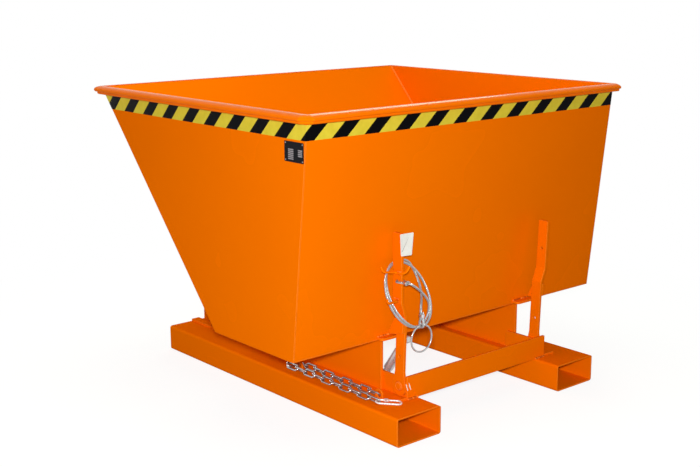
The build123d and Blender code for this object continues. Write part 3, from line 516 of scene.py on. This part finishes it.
side_run = LEFT_START / MM_PER_M + YELLOW_WIDTH + cad_low.y
for name, sign in (("tape_left", -1), ("tape_right", 1)):
    x = sign * WALL_X
    tape_strip(name, [(x, rear_y(TAPE_LOW), TAPE_LOW), (x, front_y(TAPE_LOW), TAPE_LOW),
                      (x, front_y(TAPE_HIGH), TAPE_HIGH), (x, rear_y(TAPE_HIGH), TAPE_HIGH)],
               Vector((sign, 0, 0)), lambda co, sign=sign: sign * (co.y - side_run))
tape_strip("tape_rear", [(-WALL_X, rear_y(TAPE_LOW), TAPE_LOW), (WALL_X, rear_y(TAPE_LOW), TAPE_LOW),
                         (WALL_X, rear_y(TAPE_HIGH), TAPE_HIGH), (-WALL_X, rear_y(TAPE_HIGH), TAPE_HIGH)],
           Vector((0, -1, 0)), lambda co: co.x - REAR_START / MM_PER_M)
print("tape strips 3")

# %% [markdown]
# A small rating plate is riveted to the left wall, close to the rear corner. It is aluminium,
# anodised black, which looks almost matt with a fine grain. A plate like this is a flat outline
# with round corners, pushed out to its thickness, so one helper makes the plate and its boxes.

# %% Rating plate
BACK, UP = Vector((0, -1, 0)), Vector((0, 0, 1))
PLATE_Y, PLATE_Z, PLATE_WIDE, PLATE_HIGH = 207.4, 978.8, 0.0965, 0.0645
PLATE_CORNER, PLATE_THICK, PLATE_EDGE, PLATE_GRAIN = 0.003, 0.0010, 0.0002, 0.0015


def rounded_plate(bm, centre, width, height, corner, thick, edge):
    outward = BACK.cross(UP)
    stand = Matrix((BACK, UP, outward)).transposed().to_4x4()
    stand.translation = centre
    known = set(bm.faces)
    corners = bmesh.ops.create_grid(bm, x_segments=1, y_segments=1, size=0.5,
                                    matrix=stand @ Matrix.Diagonal((width, height, 1, 1)))["verts"]
    bmesh.ops.bevel(bm, geom=corners, offset=corner, affect="VERTICES", segments=4, profile=0.5, material=-1)
    outline = [f for f in bm.faces if f not in known]
    made = bmesh.ops.extrude_face_region(bm, geom=outline)["geom"]
    lid = next(g for g in made if isinstance(g, bmesh.types.BMFace))
    bmesh.ops.translate(bm, vec=outward * thick, verts=lid.verts[:])
    bmesh.ops.bevel(bm, geom=lid.edges[:], offset=edge, affect="EDGES", segments=2, profile=0.5, material=-1)


bm = bmesh.new()
rounded_plate(bm, at(-WALL_X, PLATE_Y, PLATE_Z), PLATE_WIDE, PLATE_HIGH, PLATE_CORNER, PLATE_THICK,
              PLATE_EDGE)
material, tree, place = new_material("black_anodised_aluminium")
grain, tone = two_tones(tree, place, PLATE_GRAIN, SOFT_DETAIL, "#08080B", "#15151A")
bump = add(tree, "ShaderNodeBump", {"Strength": 0.1, "Distance": 0.0002}, {"Height": grain})
shader = add(tree, "ShaderNodeBsdfPrincipled", {"Roughness": 0.5, "Specular IOR Level": 0.05},
             {"Base Color": tone, "Normal": bump.outputs[0]})
finish_material(tree, shader)
made = piece("rating_plate", bm, material, "hopper")
print("plate faces", len(made.data.polygons))

# %% [markdown]
# The boxes stay empty. They are bare aluminium where the black was masked off, in two columns of
# narrow rows, and each stands a hair above the plate. Four domed rivets hold the plate.

# %% Boxes and rivets of the rating plate
BOX_X, BOX_TOP_Z, BOX_STEP, BOX_HIGH = -748.95, 986, 5.9, 0.0038
BOX_CORNER, BOX_THICK, BOX_EDGE = 0.0006, 0.00012, 0.00004
BOX_COLUMNS = [(223.2, 0.027, 6), (176.5, 0.021, 4)]
RIVET_X, RIVET_ALONG, RIVET_UP, RIVET_RADIUS, RIVET_DOME = -748.9, 42.5, 26.5, 0.0024, 0.55
bm = bmesh.new()
for middle_y, wide, rows in BOX_COLUMNS:
    for row in range(rows):
        centre = at(BOX_X, middle_y, BOX_TOP_Z - BOX_STEP * row)
        rounded_plate(bm, centre, wide, BOX_HIGH, BOX_CORNER, BOX_THICK, BOX_EDGE)
piece("rating_boxes", bm, finishes["etched_aluminium"], "hopper")
bm = bmesh.new()
for along in (-1, 1):
    for upward in (-1, 1):
        head = at(RIVET_X, PLATE_Y + along * RIVET_ALONG, PLATE_Z + upward * RIVET_UP)
        bmesh.ops.create_uvsphere(bm, u_segments=20, v_segments=10, radius=RIVET_RADIUS,
                                  matrix=Matrix.Translation(head) @ Matrix.Diagonal((RIVET_DOME, 1, 1, 1)))
piece("plate_rivets", bm, finishes["etched_aluminium"], "hopper", smooth=True)
print("boxes", sum(rows for middle_y, wide, rows in BOX_COLUMNS), "rivets 4")

# %% [markdown]
# A white card in clear film is stuck to the rear edge of the left lever. It is cut a little
# narrower below, and its free lower corner has bent towards the reader along a slanting fold.
# The card is one outline, cut along the fold and thickened, and the free side is turned on it.

# %% Card on the left lever
CARD = [(-376.5, 677), (-316.5, 676), (-327.5, 600.5), (-372, 602)]
CARD_Y, CARD_CORNER, CARD_THICK, CARD_BEND = 125.9, 0.003, 0.0005, math.radians(7)
FOLD_LOW, FOLD_HIGH, FREE_FROM = (-369.2, 613.8), (-332, 671), 0.0005
bm = bmesh.new()
outline_face(bm, [at(x, CARD_Y, z) for x, z in CARD])
bmesh.ops.bevel(bm, geom=bm.verts[:], offset=CARD_CORNER, affect="VERTICES", segments=3, profile=0.5,
                material=-1)
fold_start = at(FOLD_LOW[0], CARD_Y, FOLD_LOW[1])
fold_end = at(FOLD_HIGH[0], CARD_Y, FOLD_HIGH[1])
fold = (fold_end - fold_start).normalized()
away = fold.cross(BACK).normalized()
bmesh.ops.bisect_plane(bm, geom=bm.verts[:] + bm.edges[:] + bm.faces[:], plane_co=fold_start, plane_no=away)
thicken(bm, BACK * CARD_THICK)
free_side = math.copysign(1, away.x)
free = [v for v in bm.verts if (v.co - fold_start).dot(away) * free_side > FREE_FROM]
bmesh.ops.rotate(bm, cent=fold_start, matrix=Matrix.Rotation(-CARD_BEND * free_side, 4, fold), verts=free)
stands_out = fold_start.y - min(v.co.y for v in free)
print("free corner stands out", round(stands_out * MM_PER_M, 1), "mm of", len(free))

# %% [markdown]
# Laminated card is a warm white under a clear film, so a soft paper tone shows through a thin
# gloss. The film is the shader's coat. The shade in the fold is painted on as a grey line that
# runs out upwards, so a long thin grey wedge lies on it.

# %% Card finish and painted shade in the fold
CARD_MOTTLE, CREASE_HALF, CREASE_LIFT, CREASE_THICK = 0.012, 0.0008, 0.0006, 0.0003
CREASE_LOW, CREASE_HIGH = 0.05, 0.85
material, tree, place = new_material("laminated_card")
mottle, tone = two_tones(tree, place, CARD_MOTTLE, FINE_DETAIL, "#D6D3CB", "#E9E7E1")
shader = add(tree, "ShaderNodeBsdfPrincipled", {"Roughness": 0.5, "Coat Weight": 0.5, "Coat Roughness": 0.1},
             {"Base Color": tone})
finish_material(tree, shader)
piece("lever_card", bm, material, "latch")
# A long thin grey wedge on the fold is painted shade.
bm = bmesh.new()
wide = away * CREASE_HALF
low_end = fold_start.lerp(fold_end, CREASE_LOW)
high_end = fold_start.lerp(fold_end, CREASE_HIGH)
outline_face(bm, [p + BACK * CREASE_LIFT for p in (low_end - wide, low_end + wide, high_end)])
thicken(bm, BACK * CREASE_THICK)
piece("painted_fold_shade", bm, finishes["etched_aluminium"], "latch")
print("crease", round((high_end - low_end).length * MM_PER_M, 1), "mm")

# %% [markdown]
# The sheets and bars are joined by fillet welds under the paint. A weld bead is a small convex
# corner with a ripple for each drop of the wire. The profile is drawn once and extruded step by
# step along the seam, and every second step is swollen a little about the root of the seam.

# %% Weld bead
RIPPLE, SWELL, LEAST_STEPS = 5.0, 1.16, 4
ROOT, CONVEX_FAR, CONVEX_NEAR = 0.08, 0.74, 0.46


def bead(bm, start, end, side_a, side_b, leg):
    start, end = at(*start), at(*end)
    a = Vector(side_a).normalized() * (leg / MM_PER_M)
    b = Vector(side_b).normalized() * (leg / MM_PER_M)
    face = outline_face(bm, [start - (a + b) * ROOT, start + a, start + a * CONVEX_FAR + b * CONVEX_NEAR,
                             start + a * CONVEX_NEAR + b * CONVEX_FAR, start + b])
    count = max(LEAST_STEPS, 2 * round((end - start).length / (RIPPLE / MM_PER_M)))
    step = (end - start) / count
    for i in range(count):
        made = bmesh.ops.extrude_face_region(bm, geom=[face])["geom"]
        face = next(g for g in made if isinstance(g, bmesh.types.BMFace))
        bmesh.ops.translate(bm, vec=step, verts=face.verts[:])
        swell = SWELL if i % 2 == 0 else 1 / SWELL
        bmesh.ops.scale(bm, vec=(swell, swell, swell), space=Matrix.Translation(-(start + step * (i + 1))),
                        verts=face.verts[:])


def weld(name, body, seams):
    bm = bmesh.new()
    for seam in seams:
        one = bmesh.new()
        bead(one, *seam)
        kept = bpy.data.meshes.new("seam")
        one.to_mesh(kept)
        one.free()
        bm.from_mesh(kept)
        bpy.data.meshes.remove(kept)
    made = piece(name, bm, finishes["orange_paint"], body, smooth=True)
    print(name, "seams", len(seams), "faces", len(made.data.polygons))


# %% [markdown]
# On the frame the rear bar is welded to both pockets and to the shaft plates, the plates stand on
# the pockets, and the square tube at the front goes between the pockets' inner walls. A seam is
# its start, its end, the two directions that the bead leans on, and its leg in millimetres.

# %% Welds of the frame
LEFT, RIGHT, REAR, FRONT, DOWN, ABOVE = (-1, 0, 0), (1, 0, 0), (0, -1, 0), (0, 1, 0), (0, 0, -1), (0, 0, 1)
SHEET_LEG, BAR_REAR, BAR_FRONT = 5, 110, 120
POCKET_TOP, POCKET_INNER, SHAFT_PLATE_X = 100, 302, 330.5
TUBE_REAR, TUBE_FRONT, TUBE_TOP = 1180, 1240, 80
frame_seams = []
for sign, inward in ((-1, RIGHT), (1, LEFT)):
    bar_x, plate_x, tube_x = sign * 304, sign * SHAFT_PLATE_X, sign * POCKET_INNER
    frame_seams += [
        ((bar_x, BAR_REAR, POCKET_TOP), (sign * 352, BAR_REAR, POCKET_TOP), REAR, ABOVE, SHEET_LEG),
        ((bar_x, BAR_FRONT, POCKET_TOP), (sign * 325, BAR_FRONT, POCKET_TOP), FRONT, ABOVE, SHEET_LEG),
        ((plate_x, 126, POCKET_TOP), (plate_x, 282, POCKET_TOP), inward, ABOVE, SHEET_LEG),
        ((plate_x, BAR_FRONT, 106), (plate_x, BAR_FRONT, 162), inward, FRONT, SHEET_LEG),
        ((tube_x, 1182, TUBE_TOP), (tube_x, 1238, TUBE_TOP), inward, ABOVE, SHEET_LEG),
        ((tube_x, TUBE_REAR, 22), (tube_x, TUBE_REAR, 78), inward, REAR, SHEET_LEG),
        ((tube_x, TUBE_FRONT, 22), (tube_x, TUBE_FRONT, 78), inward, FRONT, SHEET_LEG)]
weld("weld_frame", "frame", frame_seams)

# %% [markdown]
# The hopper is welded inside along every corner, so that nothing leaks out. Outside, the rockers
# are welded to the floor and to the sloping front wall, and the catch tabs to the rear wall.

# %% Welds of the hopper
INNER_X, SEAM_END_X, INNER_FLOOR, SEAM_LOW, SEAM_TOP = 744.0, 740, 293, 297, 1094.0
REAR_THICK, FRONT_THICK = 4.03, 5.39
SLOPE_IN, SLOPE_OUT = (0, -0.7428, 0.6695), (0, 0.7428, -0.6695)
ROCKER_X, ROCKER_TOP, TAB_Z, TAB_LEG = 351, 632, 302, 4


def rear_inner(z):
    return rear_y(z) + REAR_THICK


def front_inner(z):
    return front_y(z) - FRONT_THICK


inside = [((-SEAM_END_X, y, INNER_FLOOR), (SEAM_END_X, y, INNER_FLOOR), lean, ABOVE, SHEET_LEG)
          for y, lean in ((rear_inner(INNER_FLOOR), FRONT), (front_inner(INNER_FLOOR), REAR))]
outside = []
for sign, inward, outward in ((-1, RIGHT, LEFT), (1, LEFT, RIGHT)):
    x, rocker_x = sign * INNER_X, sign * ROCKER_X
    inside += [
        ((x, rear_inner(SEAM_LOW), SEAM_LOW), (x, rear_inner(SEAM_TOP), SEAM_TOP),
         inward, FRONT, SHEET_LEG),
        ((x, front_inner(SEAM_LOW), SEAM_LOW), (x, front_inner(SEAM_TOP), SEAM_TOP),
         inward, SLOPE_IN, SHEET_LEG),
        ((x, rear_y(INNER_FLOOR) + 9, INNER_FLOOR), (x, front_y(INNER_FLOOR) - 12, INNER_FLOOR),
         inward, ABOVE, SHEET_LEG)]
    outside += [
        ((rocker_x, 252, FLOOR_Z), (rocker_x, 672, FLOOR_Z), outward, DOWN, SHEET_LEG),
        ((rocker_x, 676, 290), (rocker_x, front_y(ROCKER_TOP), ROCKER_TOP), outward, SLOPE_OUT, SHEET_LEG),
        ((sign * 302, rear_y(TAB_Z), TAB_Z), (sign * 386, rear_y(TAB_Z), TAB_Z), REAR, ABOVE, TAB_LEG)]
weld("weld_inside", "hopper", inside)
weld("weld_rockers", "hopper", outside)

# %% [markdown]
# On the latch the noses and the two rope hooks are welded to the levers. Where the shaft comes
# through a lever the bead goes right round it, so that one is a small triangle spun about the shaft.

# %% Welds of the latch
LEVER_X, HOOK_X, NOSE_TOP, HOOK_LEG, NOSE_LEG = 351, -369, 379, 3, 4
SHAFT_Y, SHAFT_Z, FILLET_IN, FILLET_OUT, FILLET_X, SPIN_STEPS = 156, 137, 12.6, 17, 354.2, 40
HOOK_SEAMS = [((127, 546.2), (146, 547), ABOVE), ((127, 538.4), (146, 539.2), DOWN),
              ((136, 452), (161, 452.4), ABOVE), ((136, 444.2), (161, 444.6), DOWN)]
latch_seams = [((HOOK_X, *start), (HOOK_X, *end), LEFT, lean, HOOK_LEG) for start, end, lean in HOOK_SEAMS]
for sign, outward in ((-1, LEFT), (1, RIGHT)):
    x = sign * LEVER_X
    latch_seams.append(((x, 128, NOSE_TOP), (x, 166, NOSE_TOP), outward, ABOVE, NOSE_LEG))
weld("weld_latch", "latch", latch_seams)
bm = bmesh.new()
for sign in (-1, 1):
    corner = [at(sign * x, SHAFT_Y + out, SHAFT_Z)
              for x, out in ((LEVER_X, FILLET_IN), (LEVER_X, FILLET_OUT), (FILLET_X, FILLET_IN))]
    ring = [bm.verts.new(p) for p in corner]
    ring_edges = [bm.edges.new((ring[i], ring[i - 1])) for i in range(3)]
    bmesh.ops.spin(bm, geom=ring + ring_edges, cent=at(0, SHAFT_Y, SHAFT_Z), axis=(1, 0, 0),
                   angle=2 * math.pi, steps=SPIN_STEPS, use_merge=True)
piece("weld_shaft", bm, finishes["orange_paint"], "latch", smooth=True)

# %% [markdown]
# Two slanting pale strokes on the rear bar are painted highlights, the glint on the weld there.
# They are matt and chalky. Each is a sliver a tenth of a millimetre thick and pointed at both
# ends. The sliver's outline is given as shares of its length and half width.

# %% Painted highlights on the rear bar
HIGHLIGHT_STROKES = [((-361, 160), (-350, 129)), ((-347.5, 160), (-336.5, 130))]
SLIVER = [(0, 0), (0.3, 1), (0.75, 0.8), (1, 0), (0.8, -0.8), (0.25, -1)]
STROKE_HALF, STROKE_THICK, STROKE_SPECK = 0.0022, 0.0001, 0.002
bm = bmesh.new()
for (top_x, top_z), (low_x, low_z) in HIGHLIGHT_STROKES:
    top = at(top_x, BAR_REAR, top_z)
    along = at(low_x, BAR_REAR, low_z) - top
    wide = Vector((0, 1, 0)).cross(along).normalized() * STROKE_HALF
    outline_face(bm, [top + along * run + wide * reach for run, reach in SLIVER])
thicken(bm, BACK * STROKE_THICK)
# The strokes' pale, matt tone is the painted highlight.
material, tree, place = new_material("painted_highlight_matt")
speck, tone = two_tones(tree, place, STROKE_SPECK, SOFT_DETAIL, "#E9DCCB", "#F6EEE2")
shader = add(tree, "ShaderNodeBsdfPrincipled", {"Roughness": 0.6, "Specular IOR Level": 0.2},
             {"Base Color": tone})
finish_material(tree, shader)
piece("painted_highlight_strokes", bm, material, "frame")
print("scrapes", len(HIGHLIGHT_STROKES))

# %% [markdown]
# The floor and the sky are white to the camera, and in what metal and clear film mirror. Near
# the hopper the floor glows most of the way to white and takes the rest from the lamps, so the
# shadow stays on it as a soft grey. To all other light it is a middle grey, as a studio floor
# that throws only a little light back up.

# %% White floor
FLOOR_GLOW, FLOOR_MATT, FLOOR_BOUNCE, FLOOR_HALF = 0.85, 0.2, 0.35, 30
NEAR_REACH, FAR_REACH = 0.9, 2.2
WHITE = (1, 1, 1, 1)


def seen_rays(tree):
    ray = add(tree, "ShaderNodeLightPath")
    seen = add(tree, "ShaderNodeMath",
               links={0: ray.outputs["Is Camera Ray"], 1: ray.outputs["Is Glossy Ray"]}, operation="MAXIMUM")
    seen = add(tree, "ShaderNodeMath", links={0: seen.outputs[0], 1: ray.outputs["Is Transmission Ray"]},
               operation="MAXIMUM")
    return seen.outputs[0]


material, tree, place = new_material("white_floor")
glow = add(tree, "ShaderNodeEmission", {"Color": WHITE, "Strength": FLOOR_GLOW})
matt = add(tree, "ShaderNodeBsdfDiffuse", {"Color": (FLOOR_MATT, FLOOR_MATT, FLOOR_MATT, 1)})
near = add(tree, "ShaderNodeAddShader", links={0: glow.outputs[0], 1: matt.outputs[0]})
far = add(tree, "ShaderNodeEmission", {"Color": WHITE, "Strength": 1.0})
reach = add(tree, "ShaderNodeVectorMath", links={0: place}, operation="LENGTH")
fading = add(tree, "ShaderNodeMapRange", {"From Min": NEAR_REACH, "From Max": FAR_REACH},
             {"Value": reach.outputs["Value"]})
both = add(tree, "ShaderNodeMixShader", links={0: fading.outputs[0], 1: near.outputs[0], 2: far.outputs[0]})
plain = add(tree, "ShaderNodeBsdfDiffuse", {"Color": (FLOOR_BOUNCE, FLOOR_BOUNCE, FLOOR_BOUNCE, 1)})
shader = add(tree, "ShaderNodeMixShader", links={0: seen_rays(tree), 1: plain.outputs[0], 2: both.outputs[0]})
finish_material(tree, shader)
bm = bmesh.new()
bmesh.ops.create_grid(bm, x_segments=1, y_segments=1, size=FLOOR_HALF)
mesh = bpy.data.meshes.new("floor")
bm.to_mesh(mesh)
bm.free()
mesh.materials.append(material)
floor = bpy.data.objects.new("floor", mesh)
scene.collection.objects.link(floor)
print("floor", 2 * FLOOR_HALF, "m wide")

# %% [markdown]
# The sky is white in the same way. As a light it is dim, and a little green, because in the
# shade the real enamel turns to a yellower brown.

# %% White sky
SKY_TINT, SKY_STRENGTH = (0.9, 1, 0.8, 1), 0.15
world = bpy.data.worlds.new("white_sky")
scene.world = world
world.use_nodes = True
tree = world.node_tree
tree.nodes.clear()
dim = add(tree, "ShaderNodeBackground", {"Color": SKY_TINT, "Strength": SKY_STRENGTH})
white = add(tree, "ShaderNodeBackground", {"Color": WHITE, "Strength": 1.0})
sky = add(tree, "ShaderNodeMixShader", links={0: seen_rays(tree), 1: dim.outputs[0], 2: white.outputs[0]})
add(tree, "ShaderNodeOutputWorld", links={"Surface": sky.outputs[0]})
print("sky strength", SKY_STRENGTH)

# %% [markdown]
# The main light is a small flash just over the camera, which gives the rear wall its fall from
# bright to dark. Larger, weaker lamps fill the left side, the inside and the pouring side, so
# that the hopper can be looked at from every side. Two of them have the sky's tint.

# %% Lamps
PLAIN_LIGHT, FILL_LIGHT = (1, 1, 1), (0.92, 1, 0.85)
LAMPS = [("flash", (-2.92, -3.33, 1.63), (-0.1, -0.3, 0.55), 0.14, 168, PLAIN_LIGHT),
         ("left", (-4.5, 1.5, 1.6), (-0.7, 0.2, 0.7), 2.0, 22, PLAIN_LIGHT),
         ("top", (0.2, 0.2, 4.0), (0, 0, 0.6), 2.5, 70, FILL_LIGHT),
         ("far", (3.4, 3.4, 3.2), (0.2, 0.2, 0.5), 2.0, 64, FILL_LIGHT),
         ("front", (-0.8, 5.6, 1.1), (0, 0.3, 0.6), 1.4, 70, PLAIN_LIGHT)]
for name, place, aim, size, power, colour in LAMPS:
    data = bpy.data.lights.new(name, "AREA")
    data.color = colour
    data.size = size
    data.energy = power
    made = bpy.data.objects.new(name, data)
    scene.collection.objects.link(made)
    made.location = place
    made.rotation_euler = (Vector(aim) - Vector(place)).to_track_quat("-Z", "Y").to_euler()
print("lamps", len(LAMPS))
